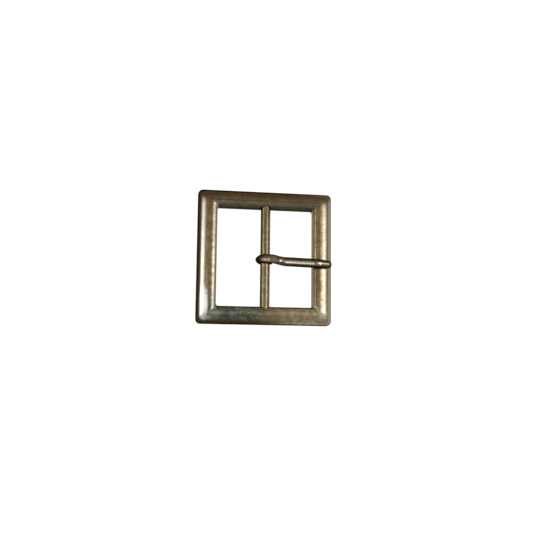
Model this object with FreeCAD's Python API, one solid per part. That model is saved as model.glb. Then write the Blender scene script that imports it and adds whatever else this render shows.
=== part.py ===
import FreeCAD, Part
import math
import os

from FreeCAD import Vector

# Square centre-bar belt buckle, lying flat with its face up (+Z).
# The bar runs along Y. The prong points along +X and lies on the rail on that side.
# The origin is under the middle of the frame, on the plane the buckle rests on.

# ---- Strap and frame ----
strap_width = 38.0              # a 1 1/2 inch strap
strap_side_gap = 1.0            # free room at each edge of the strap
opening_across = 39.2           # opening measured across the bar
side_rail_width = 7.75          # the two rails parallel to the bar
end_rail_width = 7.05           # the two rails that hold the bar
outer_round = 4.0               # round-over from the outer edge to the face
inner_round = 1.2               # rounded bevel round the opening
outer_corner = 1.9              # outer corners, seen from above
inner_corner = 0.9              # corners of the opening, seen from above

# ---- Hollow back of the casting ----
outer_wall = 1.6
inner_wall = 1.5
back_depth = 3.2
back_corner = 0.8               # corners of the hollow, seen from behind

# ---- Centre bar and its sockets ----
bar_diameter = 3.9
bar_end_bevel = 0.3
seat_depth = 4.1                # how far each end of the bar reaches into its rail
seat_gap = 0.02                 # between the bar and its seat
mouth_gap = 0.35                # round the bar where it passes the inner wall
mouth_cover = 0.4               # metal of the rail over that mouth
boss_wall = 1.5                 # metal on each side of the bar's seat
boss_back = 0.5                 # boss's back face above the resting plane
lip_opening = 2.2               # gap left between the two staked lips
stake_radius = 0.55             # punch marks on the lips
stake_depth = 0.35

# ---- Prong ----
loop_gap = 0.15                 # between the bar and the bore of the loop
loop_top = 1.6                  # metal over the bar, and the thickness of the neck
loop_front = 1.85               # metal on the side away from the tip
loop_under = 1.0                # metal under the bar, and at the closed end
loop_ground_gap = 0.2           # underside of the loop above the resting plane
seam_gap = 0.3                  # between the closed end and the underside of the neck
loop_width = 3.6
loop_corner = 1.3               # corners of the loop, seen from above
loop_edge = 0.6                 # rounding of the loop's outer edges
shank_width = 3.65
shank_thickness = 2.9
tip_width = 3.2
tip_thickness = 2.1
tip_setback = 0.85              # tip's end inside the frame's outer edge
tip_dome = 1.2                  # length of the rounded end
tip_slack = 3.5                 # tip's bend is this much larger in radius than the round-over
neck_length = 5.2               # from the bar's centre to the foot of the shoulder
shoulder_length = 2.2
shank_lift = 0.1                # shank's underside above the neck's at the shoulder
rest_gap = 0.05                 # between the prong and the rail it lies on
prong_place = -1.05             # where the loop sits along the bar
shank_step = -0.9               # sideways set of the shank against the loop
step_start = 1.6                # where along the neck that set begins
shank_lean = -1.2               # degrees, the shank's lean seen from above

# ---- Worked out from the values above ----
opening_along = strap_width + 2 * strap_side_gap
half_x = opening_across / 2 + side_rail_width
half_y = opening_along / 2 + end_rail_width
bar_radius = bar_diameter / 2
bore_radius = bar_radius + loop_gap
bar_height = loop_ground_gap + loop_under + bore_radius
frame_height = bar_height + bar_radius + mouth_gap + mouth_cover
outer_wall_height = frame_height - outer_round
neck_under = bar_height + bore_radius
neck_top = neck_under + loop_top
seat_end = opening_along / 2 + seat_depth
margin = 1.0                    # how far cutting tools run past what they cut


def block(low, high):
    """A plain block between two corners."""
    size = high - low
    return Part.makeBox(size.x, size.y, size.z, low)


def arc(start, middle, end):
    return Part.Arc(start, middle, end).toShape()


def line(start, end):
    return Part.LineSegment(start, end).toShape()


def rail_outline(half):
    """Upright section of the frame's outside: walls, two round-overs and a flat top."""
    lean = outer_round * (1 - math.sqrt(0.5))
    corners = [Vector(-half, 0, 0), Vector(-half, 0, outer_wall_height),
               Vector(-half + outer_round, 0, frame_height),
               Vector(half - outer_round, 0, frame_height),
               Vector(half, 0, outer_wall_height), Vector(half, 0, 0)]
    left = Vector(-half + lean, 0, frame_height - lean)
    right = Vector(half - lean, 0, frame_height - lean)
    edges = [line(corners[0], corners[1]), arc(corners[1], left, corners[2]),
             line(corners[2], corners[3]), arc(corners[3], right, corners[4]),
             line(corners[4], corners[5]), line(corners[5], corners[0])]
    return Part.Face(Part.Wire(edges))


def outer_body():
    """The frame's outside, with the round-overs mitred at the corners."""
    along_y = rail_outline(half_x).extrude(Vector(0, 2 * half_y, 0))
    along_y.translate(Vector(0, -half_y, 0))
    along_x = rail_outline(half_y).extrude(Vector(0, 2 * half_x, 0))
    along_x.translate(Vector(0, -half_x, 0))
    along_x.rotate(Vector(0, 0, 0), Vector(0, 0, 1), 90)
    return along_y.common(along_x)


def corner_post():
    """One outer corner: the round-over turned about the corner's own upright axis."""
    top = outer_wall_height + math.sqrt(outer_round**2 - (outer_round - outer_corner)**2)
    half_way = outer_corner / 2
    bend = outer_wall_height + math.sqrt(outer_round**2 - (outer_round - half_way)**2)
    edges = [line(Vector(0, 0, 0), Vector(outer_corner, 0, 0)),
             line(Vector(outer_corner, 0, 0), Vector(outer_corner, 0, outer_wall_height)),
             arc(Vector(outer_corner, 0, outer_wall_height),
                 Vector(outer_corner - half_way, 0, bend), Vector(0, 0, top)),
             line(Vector(0, 0, top), Vector(0, 0, 0))]
    profile = Part.Face(Part.Wire(edges))
    return profile.revolve(Vector(0, 0, 0), Vector(0, 0, 1), 90)


def round_corners(body):
    """Trade each square corner of the body for a rounded one."""
    for index, (sx, sy) in enumerate([(1, 1), (-1, 1), (-1, -1), (1, -1)]):
        centre = Vector(sx * (half_x - outer_corner), sy * (half_y - outer_corner), 0)
        edge = Vector(sx * (half_x + margin), sy * (half_y + margin), frame_height + margin)
        low = Vector(min(centre.x, edge.x), min(centre.y, edge.y), -margin)
        high = Vector(max(centre.x, edge.x), max(centre.y, edge.y), edge.z)
        post = corner_post()
        post.rotate(Vector(0, 0, 0), Vector(0, 0, 1), 90 * index)
        post.translate(centre)
        body = body.cut(block(low, high)).fuse(post)
    return body.removeSplitter()


def upright_prism(half_width, half_length, corner, low, high):
    """An upright prism with four rounded corners."""
    prism = block(Vector(-half_width, -half_length, low), Vector(half_width, half_length, high))
    uprights = [e for e in prism.Edges if abs(e.Vertexes[0].X - e.Vertexes[1].X) < 1e-6
                and abs(e.Vertexes[0].Y - e.Vertexes[1].Y) < 1e-6]
    return prism.makeFillet(corner, uprights)


def cut_opening(body):
    """Cut the strap opening and round its upper edge."""
    half_u = opening_across / 2
    half_v = opening_along / 2
    body = body.cut(upright_prism(half_u, half_v, inner_corner, -margin, frame_height + margin))
    rim = []
    for edge in body.Edges:
        box = edge.BoundBox
        at_top = box.ZMin > frame_height - 1e-4
        inside = max(abs(box.XMin), abs(box.XMax)) < half_u + 1e-4
        if at_top and inside and max(abs(box.YMin), abs(box.YMax)) < half_v + 1e-4:
            rim.append(edge)
    return body.makeFillet(inner_round, rim)


def back_hollow():
    """The ring-shaped hollow in the back of the rails."""
    outside = upright_prism(half_x - outer_wall, half_y - outer_wall, back_corner,
                            -margin, back_depth)
    inside = upright_prism(opening_across / 2 + inner_wall, opening_along / 2 + inner_wall,
                           inner_corner + inner_wall, -2 * margin, back_depth + margin)
    return outside.cut(inside)


def bar_cylinder(radius, start, end):
    """A round rod on the bar's centre line."""
    return Part.makeCylinder(radius, end - start, Vector(0, start, bar_height), Vector(0, 1, 0))


def bar_boss():
    """The block inside one rail that the bar's end is seated in."""
    half = bar_radius + boss_wall
    start = opening_along / 2 + inner_wall / 2
    end = half_y - outer_wall / 2
    return block(Vector(-half, start, boss_back), Vector(half, end, back_depth + margin))


def bar_socket():
    """What is cut from one rail to take the bar: mouth, seat, way in and punch marks."""
    start = opening_along / 2 - margin
    wall_end = opening_along / 2 + inner_wall
    mouth = bar_cylinder(bar_radius + mouth_gap, start, wall_end)
    seat = bar_cylinder(bar_radius + seat_gap, start, seat_end + seat_gap)
    gap = lip_opening / 2
    way_in = block(Vector(-gap, start, -margin), Vector(gap, seat_end + seat_gap, bar_height))
    tool = mouth.fuse(seat).fuse(way_in)
    lip_middle = (wall_end + seat_end) / 2
    for side in (-1, 1):
        place = Vector(side * (gap + stake_radius * 1.4), lip_middle, boss_back - 0.001)
        tool = tool.fuse(Part.makeCone(stake_radius, stake_radius / 3, stake_depth, place))
    return tool


def buckle_frame():
    body = cut_opening(round_corners(outer_body()))
    body = body.cut(back_hollow())
    for turn in (0, 180):
        boss = bar_boss()
        socket = bar_socket()
        boss.rotate(Vector(0, 0, 0), Vector(0, 0, 1), turn)
        socket.rotate(Vector(0, 0, 0), Vector(0, 0, 1), turn)
        body = body.fuse(boss).cut(socket)
    return body.removeSplitter()


def centre_bar():
    bar = bar_cylinder(bar_radius, -seat_end, seat_end)
    rims = [e for e in bar.Edges if len(e.Vertexes) == 1]
    return bar.makeChamfer(bar_end_bevel, rims)


def on_bar(radius, degrees):
    """A point about the bar's centre line; 0 degrees is towards the tip, 90 is up."""
    turn = math.radians(degrees)
    return Vector(radius * math.cos(turn), 0, bar_height + radius * math.sin(turn))


def quarter_ellipse(reach_x, reach_z, degrees):
    """A quarter of the loop's outside, from the given angle to a quarter turn further."""
    points = []
    for step in range(7):
        turn = math.radians(degrees + 15 * step)
        points.append(Vector(reach_x * math.cos(turn), 0, bar_height + reach_z * math.sin(turn)))
    curve = Part.BSplineCurve()
    along = Vector(-math.sin(math.radians(degrees)), 0, math.cos(math.radians(degrees)))
    across = Vector(-along.z, 0, along.x)
    curve.interpolate(Points=points, InitialTangent=along, FinalTangent=across)
    return curve.toShape()


def loop_outline():
    """Side view of the loop: start of the neck, turn round the bar and closed end."""
    top = bore_radius + loop_top
    front = bore_radius + loop_front
    under = bore_radius + loop_under
    closed_at = math.degrees(math.asin((bore_radius - seam_gap) / under))
    bottom = on_bar(under, 270)
    edges = [line(Vector(step_start, 0, neck_under), Vector(step_start, 0, neck_top)),
             line(Vector(step_start, 0, neck_top), on_bar(top, 90)),
             quarter_ellipse(front, top, 90),
             quarter_ellipse(front, under, 180),
             arc(bottom, on_bar(under, 330), on_bar(under, closed_at)),
             line(on_bar(under, closed_at), on_bar(bore_radius, closed_at)),
             arc(on_bar(bore_radius, closed_at), on_bar(bore_radius, 240),
                 on_bar(bore_radius, 90)),
             line(on_bar(bore_radius, 90), Vector(step_start, 0, neck_under))]
    return Part.Face(Part.Wire(edges))


def prong_root():
    """The loop, with rounded corners and edges."""
    half = loop_width / 2
    root = loop_outline().extrude(Vector(0, loop_width, 0))
    root.translate(Vector(0, -half, 0))
    outside = []
    for edge in root.Edges:
        box = edge.BoundBox
        flat = box.YMax - box.YMin < 1e-6
        middle = edge.valueAt((edge.FirstParameter + edge.LastParameter) / 2)
        reach = math.hypot(middle.x, middle.z - bar_height)
        over = middle.x > 0 and middle.z > neck_top - 1e-4
        round_front = middle.x < 0 and reach > bore_radius + loop_under / 2
        if flat and (over or round_front):
            outside.append(edge)
    root = root.makeFillet(loop_edge, outside)
    front = bore_radius + loop_front
    plan = block(Vector(-front, -half, -margin), Vector(front, half, neck_top + margin))
    uprights = [e for e in plan.Edges if e.Vertexes[0].X < 0 and e.Vertexes[1].X < 0
                and abs(e.Vertexes[0].Y - e.Vertexes[1].Y) < 1e-6]
    return root.common(plan.makeFillet(loop_corner, uprights))


def ease(start_value, end_value, start, end, x):
    """A value that changes smoothly from one to the other between two places."""
    share = max(0.0, min(1.0, (x - start) / (end - start)))
    return start_value + (end_value - start_value) * share * share * (3 - 2 * share)


def side_set(x):
    """Sideways place of the prong's centre line against its loop."""
    bend_end = neck_length + shoulder_length
    lean = math.tan(math.radians(shank_lean)) * max(0.0, x - bend_end)
    return ease(0.0, shank_step, step_start, bend_end, x) + lean


def underside(x):
    """Height of the prong's underside: level neck, rising shank, level on the rail, drooping tip."""
    shoulder_end = neck_length + shoulder_length
    rail_edge = opening_across / 2
    face_end = half_x - outer_round
    low = neck_under + shank_lift
    rest = frame_height + rest_gap
    if x < shoulder_end:
        return ease(neck_under, low, neck_length, shoulder_end, x)
    share = min(1.0, (x - shoulder_end) / (rail_edge - shoulder_end))
    droop = max(0.0, x - face_end) ** 2 / (2 * (outer_round + tip_slack))
    return low + (rest - low) * share - droop


def prong_size(x):
    """Width, thickness and squareness of the prong's section (2 is an oval)."""
    foot = neck_length - shoulder_length / 2
    shoulder_end = neck_length + shoulder_length
    face_start = opening_across / 2 + inner_round
    dome_start = half_x - tip_setback - tip_dome
    inset = 0.02
    width = ease(loop_width - inset, shank_width, foot, shoulder_end, x)
    width += ease(0.0, tip_width - shank_width, face_start, dome_start, x)
    thickness = ease(loop_top - inset, shank_thickness, foot, shoulder_end, x)
    thickness += ease(0.0, tip_thickness - shank_thickness, face_start, dome_start, x)
    return width, thickness, ease(5.0, 2.2, step_start, shoulder_end, x)


def prong_section(x, share):
    """The closed section of the neck or shank at x, at a share of its full size."""
    width, thickness, squareness = prong_size(x)
    points = []
    for step in range(16):
        turn = 2 * math.pi * step / 16
        c = math.cos(turn)
        s = math.sin(turn)
        across = math.copysign(abs(c) ** (2 / squareness), c) * share * width / 2
        up = math.copysign(abs(s) ** (2 / squareness), s) * share * thickness / 2
        points.append(Vector(0, across, up))
    curve = Part.BSplineCurve()
    curve.interpolate(Points=points, PeriodicFlag=True)
    ring = Part.Wire([curve.toShape()])
    reach = 0.5
    rise = underside(x + reach) - underside(x - reach)
    rise += (prong_size(x + reach)[1] - prong_size(x - reach)[1]) / 2
    slope = math.degrees(math.atan2(rise, 2 * reach))
    ring.rotate(Vector(0, 0, 0), Vector(0, 1, 0), -slope)
    ring.translate(Vector(x, side_set(x), underside(x) + thickness / 2))
    return ring


def neck_and_shank():
    """Flat neck, shoulder and oval shank, to the domed tip over the far rail."""
    tip_end = half_x - tip_setback
    dome_start = tip_end - tip_dome
    start = step_start / 4
    stations = 18
    sections = []
    for step in range(stations + 1):
        sections.append(prong_section(start + (dome_start - start) * step / stations, 1.0))
    for part in (0.4, 0.7, 0.9, 0.98):
        share = math.sqrt(1 - part * part)
        sections.append(prong_section(dome_start + part * tip_dome, share))
    return Part.makeLoft(sections, True, False)


def prong():
    body = prong_root().fuse(neck_and_shank())
    body.translate(Vector(0, prong_place, 0))
    return body


os.makedirs("parts", exist_ok=True)
for name, shape in (("buckle_frame", buckle_frame()), ("centre_bar", centre_bar()),
                    ("prong", prong())):
    solids = shape.Solids
    print(name, "solids", len(solids), "volume", round(shape.Volume, 2), "valid", shape.isValid())
    result = solids[0] if len(solids) == 1 else Part.Compound(solids)
    result.exportStep("parts/" + name + ".step")
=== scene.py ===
import math
from types import SimpleNamespace

import bmesh
import bpy
from mathutils import Matrix, Vector


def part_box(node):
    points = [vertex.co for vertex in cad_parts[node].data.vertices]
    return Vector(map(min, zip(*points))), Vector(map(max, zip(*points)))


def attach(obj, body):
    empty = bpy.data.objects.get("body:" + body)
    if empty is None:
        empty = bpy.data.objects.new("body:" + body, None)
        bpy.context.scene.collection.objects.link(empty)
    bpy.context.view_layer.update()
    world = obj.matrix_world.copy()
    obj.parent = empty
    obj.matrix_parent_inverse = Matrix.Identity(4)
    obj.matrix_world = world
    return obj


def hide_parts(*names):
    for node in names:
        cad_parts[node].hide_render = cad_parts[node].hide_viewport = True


bl_info = {
    "name": "Centre-bar belt buckle",
    "version": (1, 0, 0),
    "blender": (4, 5, 0),
    "location": "3D View > Sidebar > Buckle",
    "description": "Square centre-bar belt buckle: frame, bar and prong, built round the packed model",
    "category": "Object",
}

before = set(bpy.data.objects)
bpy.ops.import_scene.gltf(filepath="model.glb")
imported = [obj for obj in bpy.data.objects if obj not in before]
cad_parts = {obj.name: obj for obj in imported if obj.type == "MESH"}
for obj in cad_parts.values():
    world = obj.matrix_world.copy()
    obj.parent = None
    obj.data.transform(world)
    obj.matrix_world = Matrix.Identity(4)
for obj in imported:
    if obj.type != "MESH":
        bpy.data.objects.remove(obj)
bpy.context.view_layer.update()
frame_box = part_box("buckle_frame")
bar_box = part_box("centre_bar")

# One millimetre in metres. Pieces are shaped in millimetres and scaled when they are done.
MM = 0.001

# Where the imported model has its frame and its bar, in millimetres
HALF_ACROSS = frame_box[1].x / MM
HALF_ALONG = frame_box[1].y / MM
FRAME_TOP = frame_box[1].z / MM
BAR_RADIUS = (bar_box[1].x - bar_box[0].x) / 2 / MM
BAR_HEIGHT = (bar_box[0].z + bar_box[1].z) / 2 / MM
BAR_END = bar_box[1].y / MM

# Small fixed sizes of the frame, in millimetres
EDGE_ROUND = 0.22  # round on the back edges of the outer wall and the opening
HOLLOW_CHAMFER = 0.15  # chamfer on the edges of the hollow
HOLLOW_ROOT = 0.5  # fillet where the hollow's walls meet its ceiling
LEAST_CORNER = 0.45  # smallest corner radius of any ring
INNER_CORNER_LOSS = 0.35  # corner radius that the bevel loses for each millimetre outwards
HOLLOW_INNER_CORNER = 1.9
HOLLOW_OUTER_CORNER = 0.8
HOLLOW_EDGE_CORNER = 0.9
ROUND_STEPS = 16
FACE_STEPS = 10
BEVEL_STEPS = 12

# A quarter circle of radius 1 in three steps: how far each point is from the flank and the end
QUARTER = [(1 - math.cos(turn), 1 - math.sin(turn)) for turn in map(math.radians, (0, 30, 60, 90))]

# Small fixed sizes of the bar's seats, in millimetres
BOSS_FOOT = 0.5  # height of a boss's underside
BOSS_ROOT = 0.8  # how far a boss runs into the hollow's ceiling
BOSS_BEVEL = 0.25
SEAT_ROOM = 0.03  # room round the bar in its seat
SEAT_END_ROOM = 0.02  # room past the bar's end
OVERCUT = 1.0  # how far a cutter stands out of the metal
PUNCH_OFFSET = 0.77  # from the slot's side to the middle of a punch mark
PUNCH_HEIGHT = 0.6  # height of the middle of the punch cutter
PUNCH_LENGTH = 0.5
PUNCH_MOUTH = 0.58  # radius at the cutter's foot
PUNCH_POINT = 0.18  # radius at its top

# Small fixed sizes of the bar, in millimetres
BAR_BEVEL = 0.3
BAR_RINGS = (-12.0, 0.0, 12.0)  # Y of the plain rings between its bevels

# Small fixed sizes of the prong, in millimetres. X runs from the bar's axis to the tip.
REST_GAP = 0.05  # between the shank and the top of the rail
LOOP_SIDE = -0.88  # Y of the loop's middle
SHANK_SIDE = -1.95  # Y of the shank's middle just past the shoulder
SHANK_SKEW = math.tan(math.radians(-1.9))
SWERVE_START = 2.2  # X where the neck starts to swerve
SWERVE_PAST = 0.3  # how far past the shoulder the swerve ends
NECK_RISE = 0.1  # how far the underside rises over the shoulder's length
DROOP_LENGTH = 4.0  # stretch before the frame's outer side where the tip droops
DROOP_SPREAD = 15.0  # a larger value droops less
THICKENING = 1.1  # how far before the shoulder's foot the neck starts to thicken
WIDEST = 8.5  # X where the shank has its full width
TAPER_START = 20.8  # X where the taper to the tip starts
TIP_INSET = 0.85  # from the frame's outer side to the prong's end
TIP_DOME = 1.2  # length of the rounded end
DOME_SHARES = (0.2, 0.4, 0.58, 0.74, 0.87, 0.95, 0.99)  # places of its rings
FLAT_END = 1.6  # X where the neck's section starts to turn oval
NOSE_START = 1.6  # distance before the bar's axis where the loop starts to narrow
LOOP_SQUARENESS = 2.7  # section of the loop: 2 is an ellipse, more is squarer
NOSE_SQUARENESS = 2.3
SHANK_SQUARENESS = 2.2
END_SQUARENESS = 3.0
END_NARROWER = 0.5  # how much narrower and thinner the loop's wrapped end is
END_THINNER = 0.45
END_ROUND = 3.5  # degrees over which that end is rounded
END_DROP = 0.3  # how far under the neck it stops
LOOP_TURN = -270.0  # angle about the bar, in degrees, where the loop becomes the neck
LOOP_STATIONS = 28
SHANK_STATIONS = 44


def length(name, description, default):
    return bpy.props.FloatProperty(name=name, description=description, default=default * MM,
                                   subtype="DISTANCE", unit="LENGTH", precision=5)


def angle(name, description, default, most):
    return bpy.props.FloatProperty(name=name, description=description, default=math.radians(default),
                                   min=0.0, max=math.radians(most), subtype="ANGLE", unit="ROTATION")


def strength(name, description, default, most):
    return bpy.props.FloatProperty(name=name, description=description, default=default,
                                   min=0.0, max=most)


def colour(name, description, default):
    return bpy.props.FloatVectorProperty(name=name, description=description, default=default,
                                         subtype="COLOR", size=3, min=0.0, max=1.0)


class BuckleSizes(bpy.types.PropertyGroup):
    opening_across: length("Opening across", "Strap opening, measured across the bar", 39.2)
    opening_along: length("Opening along", "Strap opening, measured along the bar", 40.0)
    round_width: length("Round-over width", "Width of the round-over along the outer edge", 4.9)
    round_height: length("Round-over height", "Height of the round-over along the outer edge", 4.0)
    bevel_width: length("Bevel width", "Width of the full curve that the inner bevel is cut from", 3.05)
    bevel_depth: length("Bevel depth", "Depth of the full curve that the inner bevel is cut from", 1.6)
    outer_corner: length("Outer corner", "Corner radius of the frame, seen from above", 1.9)
    inner_corner: length("Inner corner", "Corner radius of the opening, seen from above", 0.9)
    corner_swell: length("Corner swell", "Extra corner radius half way up the round-over", 1.5)
    rim: length("Rim", "Width of the outer wall of the hollow back", 1.6)
    inner_rim: length("Inner rim", "Width of the inner wall of the hollow back", 1.5)
    back_depth: length("Hollow depth", "Depth of the hollow in the back", 3.2)
    seat_depth: length("Seat depth", "How far the bar reaches into its rails", 4.1)
    face_crown: length("Face crown", "How far the face's middle stands over its edges", 0.02)
    mouth_gap: length("Mouth gap", "Room round the bar where it enters a rail", 0.35)
    boss_wall: length("Boss wall", "Metal on each side of the bar's seat", 1.5)
    lip_opening: length("Lip opening", "Gap between the two staked lips", 2.2)
    loop_gap: length("Loop gap", "Room between the bar and the prong's loop", 0.15)
    loop_top: length("Loop top", "Metal of the loop over the bar", 1.6)
    loop_front: length("Loop front", "Metal of the loop on the side away from the tip", 1.85)
    loop_under: length("Loop underside", "Metal of the loop under the bar", 1.0)
    nose_width: length("Loop nose", "Width of the loop where it is farthest from the tip", 1.4)
    loop_width: length("Loop width", "Width of the prong's loop", 3.55)
    shank_width: length("Shank width", "Width of the prong's shank", 3.7)
    shank_thickness: length("Shank thickness", "Thickness of the prong's shank", 2.9)
    tip_width: length("Tip width", "Width of the prong near its tip", 3.2)
    tip_thickness: length("Tip thickness", "Thickness of the prong near its tip", 2.1)
    neck_length: length("Neck length", "From the bar to the foot of the shoulder", 5.2)
    shoulder_length: length("Shoulder length", "Length of the shoulder's rise", 2.2)
    face_lean: angle("Face lean", "Slope of the face at its outer side", 2.0, 15.0)
    bevel_lean: angle("Bevel lean", "Slope at which the bevel leaves the face", 10.0, 45.0)


class BuckleFinish(bpy.types.PropertyGroup):
    # Rubbed bright plating; also the colour of the painted highlights and reflections on the frame and the
    # prong
    polished: colour("Polished brass and sheen", "Where rubbing brightens the plating, and painted highlights", (0.73, 0.665, 0.555))
    bronze: colour("Antique brass", "The frame plating's own olive bronze", (0.225, 0.17, 0.083))
    bar_bronze: colour("Bar bronze", "The bar plating's own bronze", (0.155, 0.12, 0.06))
    prong_bronze: colour("Prong bronze", "The prong plating's own bronze", (0.15, 0.112, 0.06))
    brown: colour("Brown patina", "Warm brown patina", (0.16, 0.092, 0.042))
    verdigris: colour("Grey-green patina", "Cool grey-green bloom", (0.108, 0.132, 0.09))
    lichen: colour("Pale green patina", "Lighter clouds in the grey-green bloom", (0.27, 0.31, 0.22))
    bloom: colour("Bloom", "Pale green spot at the lower left corner", (0.36, 0.42, 0.3))
    # Painted highlight: a white patch that stands in for a window's reflection on the left rail
    bare: colour("Painted glare", "White patch on the left rail, a painted highlight", (0.95, 0.95, 0.9))
    # Also laid as a painted reflection on the frame's right outer edge and down the bar's right side
    khaki: colour("Khaki plating", "Paler, less aged plating", (0.36, 0.29, 0.175))
    # Painted shade on the right rail's inner bevel
    smoke: colour("Right bevel shade", "Dark olive on the right bevel", (0.1, 0.085, 0.05))
    # Dark patina in the hollow back; the same tone is painted shade on the outer and inner walls, in a crease
    # and down the bar's left side
    grime: colour("Dark patina", "Dark patina in hollows, and painted shade along the walls", (0.05, 0.035, 0.02))
    # Painted shade: black along the prong's sides
    shade_black: colour("Prong side shade", "Black painted shade along the prong's sides", (0.02, 0.013, 0.006))
    frame_tint: colour("Frame edge tint", "Tint of the frame's shine at a low angle", (0.12, 0.09, 0.05))
    wire_tint: colour("Wire edge tint", "Tint of the bar's and prong's shine at a low angle",
                      (0.15, 0.11, 0.06))


class BuckleStage(bpy.types.PropertyGroup):
    floor: colour("Floor", "Colour of the floor", (0.96, 0.96, 0.955))
    room_tone: colour("Room tone", "Colour of the light from all round", (1.0, 0.97, 0.92))
    room: strength("Room light", "Strength of the light from all round", 0.5, 2.0)
    left_lamp: strength("Left lamp", "Brightness of the left softbox; 1 is white paper", 3.3, 50.0)
    right_lamp: strength("Right lamp", "Brightness of the right softbox", 6.0, 50.0)
    front_lamp: strength("Front lamp", "Brightness of the small front softbox", 5.5, 50.0)
    window: strength("Small window", "Brightness of the small window up to the left", 11.0, 100.0)


# ---- Mesh helpers ----

def shape_sizes(group):
    """The sizes of a property group: lengths in millimetres, angles in radians."""
    sizes = SimpleNamespace()
    for item in group.bl_rna.properties:
        if item.type == "FLOAT":
            scale = MM if item.unit == "LENGTH" else 1.0
            setattr(sizes, item.identifier, getattr(group, item.identifier) / scale)
    return sizes


def between(first, second, share):
    return first + (second - first) * share


def new_edges(bm, before):
    return [edge for edge in bm.edges if edge not in before]


def rounded_ring(bm, half_x, half_y, corner, height, steps=8):
    """A closed ring: each corner is a point spun about the corner's centre."""
    before = set(bm.edges)
    ends = []
    for quarter, (sx, sy) in enumerate(((1, 1), (-1, 1), (-1, -1), (1, -1))):
        centre = Vector((sx * (half_x - corner), sy * (half_y - corner), height))
        reach = Matrix.Rotation(math.radians(90 * quarter), 3, "Z") @ Vector((corner, 0, 0))
        first = bmesh.ops.create_vert(bm, co=centre + reach)["vert"][0]
        spun = bmesh.ops.spin(bm, geom=[first], cent=centre, axis=(0, 0, 1),
                              angle=math.radians(90), steps=steps)
        last = [v for v in spun["geom_last"] if isinstance(v, bmesh.types.BMVert)][0]
        ends.append((first, last))
    for index in range(4):
        bm.edges.new((ends[index][1], ends[(index + 1) % 4][0]))
    return new_edges(bm, before)


def close_mesh(bm):
    bmesh.ops.remove_doubles(bm, verts=bm.verts, dist=1e-5)
    bmesh.ops.recalc_face_normals(bm, faces=bm.faces)


def bridge_row(bm, loops):
    """Bridge each loop to the next one and close both ends of the row."""
    for first, second in zip(loops, loops[1:]):
        bmesh.ops.bridge_loops(bm, edges=first + second)
    for loop in (loops[0], loops[-1]):
        bmesh.ops.holes_fill(bm, edges=loop, sides=0)
    close_mesh(bm)


def mesh_object(bm, name):
    """A new object from a finished bmesh, which is freed."""
    mesh = bpy.data.meshes.new(name)
    bm.to_mesh(mesh)
    bm.free()
    made = bpy.data.objects.new(name, mesh)
    bpy.context.scene.collection.objects.link(made)
    return made


def block(bm, low, high):
    """A block between two corners; returns its points."""
    made = bmesh.ops.create_cube(bm, size=1.0)["verts"]
    bmesh.ops.scale(bm, vec=[b - a for a, b in zip(low, high)], verts=made)
    bmesh.ops.translate(bm, vec=[(a + b) / 2 for a, b in zip(low, high)], verts=made)
    return made


def both_ends(bm):
    """Repeat everything at the other end of the bar."""
    twin = bmesh.ops.duplicate(bm, geom=bm.verts[:] + bm.edges[:] + bm.faces[:])["geom"]
    bmesh.ops.rotate(bm, cent=(0, 0, 0), matrix=Matrix.Rotation(math.pi, 3, "Z"),
                     verts=[v for v in twin if isinstance(v, bmesh.types.BMVert)])


def carve(body, bm, operation):
    """Join a tool to a body, or cut it away, at both ends of the bar. The tool goes with its mesh."""
    both_ends(bm)
    close_mesh(bm)
    tool = mesh_object(bm, "tool")
    change = body.modifiers.new("carve", "BOOLEAN")
    change.operation = operation
    change.solver = "EXACT"
    change.object = tool
    bpy.context.view_layer.update()
    changed = bpy.data.meshes.new_from_object(body.evaluated_get(bpy.context.evaluated_depsgraph_get()))
    body.modifiers.clear()
    old = body.data
    body.data = changed
    bpy.data.meshes.remove(old)
    bpy.data.meshes.remove(tool.data)


def finish_piece(made, material, node, body, sharp):
    """Scale to metres, shade smooth up to a sharp angle, and hand the piece to its body."""
    made.data.transform(Matrix.Scale(MM, 4))
    made.data.shade_smooth()
    made.data.set_sharp_from_angle(angle=math.radians(sharp))
    made.data.materials.clear()
    made.data.materials.append(material)
    made.data.name = made.name
    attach(made, body)
    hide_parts(node)


# ---- Frame ----

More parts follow.
